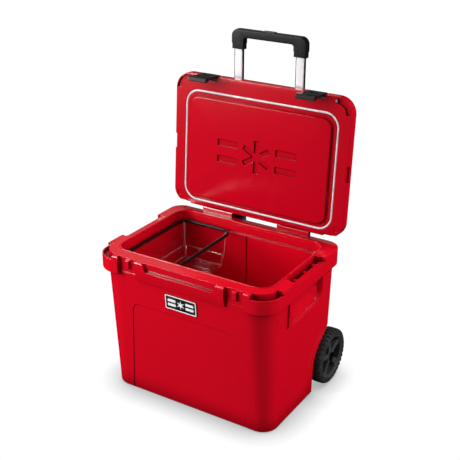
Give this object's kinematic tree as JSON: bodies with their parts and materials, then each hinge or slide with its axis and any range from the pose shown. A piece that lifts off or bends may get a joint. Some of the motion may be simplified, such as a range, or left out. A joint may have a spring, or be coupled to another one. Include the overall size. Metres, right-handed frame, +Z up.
{
  "type": "wheeled cool box",
  "caption": "Rigid insulated cool box on two rear wheels, with a hinged lid, front latches, a lift-out basket and a telescopic pull handle.",
  "frame": {"origin": "on the floor under the flat base: X=0 at the middle of the width, Y=0 near the middle of the depth, Z=0 at the base's underside", "axes": "+X to the right seen from the front, +Y to the back where the wheels and the handle are, +Z up"},
  "size_m": [0.604, 0.514, 1.0545],
  "materials": {
    "shell_red": "satin",
    "liner_red": "satin",
    "lid_red": "satin",
    "panel_red": "satin",
    "foam": "matt",
    "badge_black": "satin",
    "seal_grey": "matt",
    "pin_steel": "satin",
    "latch_black": "fine grain",
    "clear_plastic": "clear polish",
    "band_black": "matt",
    "tyre_black": "matt",
    "wheel_black": "satin",
    "hub_metal": "polished",
    "hub_black": "satin",
    "bracket_steel": "satin black",
    "housing_black": "fine grain",
    "tube_dark": "black anodised",
    "tube_silver": "brushed",
    "collar_black": "fine grain",
    "grip_black": "fine grain",
    "button_black": "satin"
  },
  "bodies": {
    "cooler": {"body_shell": "shell_red", "body_foam": "foam", "body_liner": "liner_red", "front_badge": "badge_black", "hinge_pins": "pin_steel", "axle": "pin_steel", "axle_washers": "pin_steel", "handle_housing": "housing_black", "axle_bracket_left": "bracket_steel", "axle_bracket_right": "bracket_steel", "outer_tube_left": "tube_dark", "outer_tube_right": "tube_dark", "lower_collar_left": "collar_black", "lower_collar_right": "collar_black"},
    "lid": {"lid_shell": "lid_red", "lid_foam": "foam", "lid_panel": "panel_red", "lid_gasket": "seal_grey", "latch_pins": "pin_steel", "tie_down_pegs": "pin_steel"},
    "latch_left": {"latch_left": "latch_black"},
    "latch_right": {"latch_right": "latch_black"},
    "basket": {"basket_tray": "clear_plastic", "basket_band": "band_black"},
    "handle_middle": {"middle_tube_left": "tube_dark", "middle_tube_right": "tube_dark", "middle_collar_left": "collar_black", "middle_collar_right": "collar_black"},
    "handle_top": {"inner_tube_left": "tube_silver", "inner_tube_right": "tube_silver", "tube_strips_left": "tube_dark", "tube_strips_right": "tube_dark", "grip_collar_left": "collar_black", "grip_collar_right": "collar_black", "handle_grip": "grip_black", "grip_screws": "pin_steel"},
    "grip_button": {"grip_button": "button_black"},
    "wheel_left": {"tyre_left": "tyre_black", "wheel_left": "wheel_black", "hub_ring_left": "hub_metal", "hub_plug_left": "hub_black"},
    "wheel_right": {"tyre_right": "tyre_black", "wheel_right": "wheel_black", "hub_ring_right": "hub_metal", "hub_plug_right": "hub_black"}
  },
  "joints": [
    {"name": "lid_hinge", "type": "hinge", "parent": "cooler", "child": "lid", "pos_m": [0, 0.2124, 0.4779], "axis": [1, 0, 0], "range_deg": [0, 93.6]},
    {"name": "latch_left_hinge", "type": "hinge", "parent": "lid", "child": "latch_left", "pos_m": [-0.1815, 0.24507, 0.90008], "axis": [1, 0, 0], "range_deg": [-100, 0]},
    {"name": "latch_right_hinge", "type": "hinge", "parent": "lid", "child": "latch_right", "pos_m": [0.1815, 0.24507, 0.90008], "axis": [1, 0, 0], "range_deg": [-100, 0]},
    {"name": "basket_lift", "type": "slide", "parent": "cooler", "child": "basket", "axis": [0, 0, -1], "range_m": [-0.16, 0]},
    {"name": "handle_lower_stage", "type": "slide", "parent": "cooler", "child": "handle_middle", "axis": [0, 0, 1], "range_m": [-0.264, 0]},
    {"name": "handle_upper_stage", "type": "slide", "parent": "handle_middle", "child": "handle_top", "axis": [0, 0, 1], "range_m": [-0.263, 0]},
    {"name": "button_press", "type": "slide", "parent": "handle_top", "child": "grip_button", "axis": [0, 0, 1], "range_m": [-0.003, 0], "stiffness_N_per_m": 600, "springref_m": 0.001},
    {"name": "wheel_left_spin", "type": "hinge", "parent": "cooler", "child": "wheel_left", "pos_m": [-0.279, 0.188, 0.089], "axis": [1, 0, 0], "continuous": true},
    {"name": "wheel_right_spin", "type": "hinge", "parent": "cooler", "child": "wheel_right", "pos_m": [0.279, 0.188, 0.089], "axis": [1, 0, 0], "continuous": true}
  ]
}
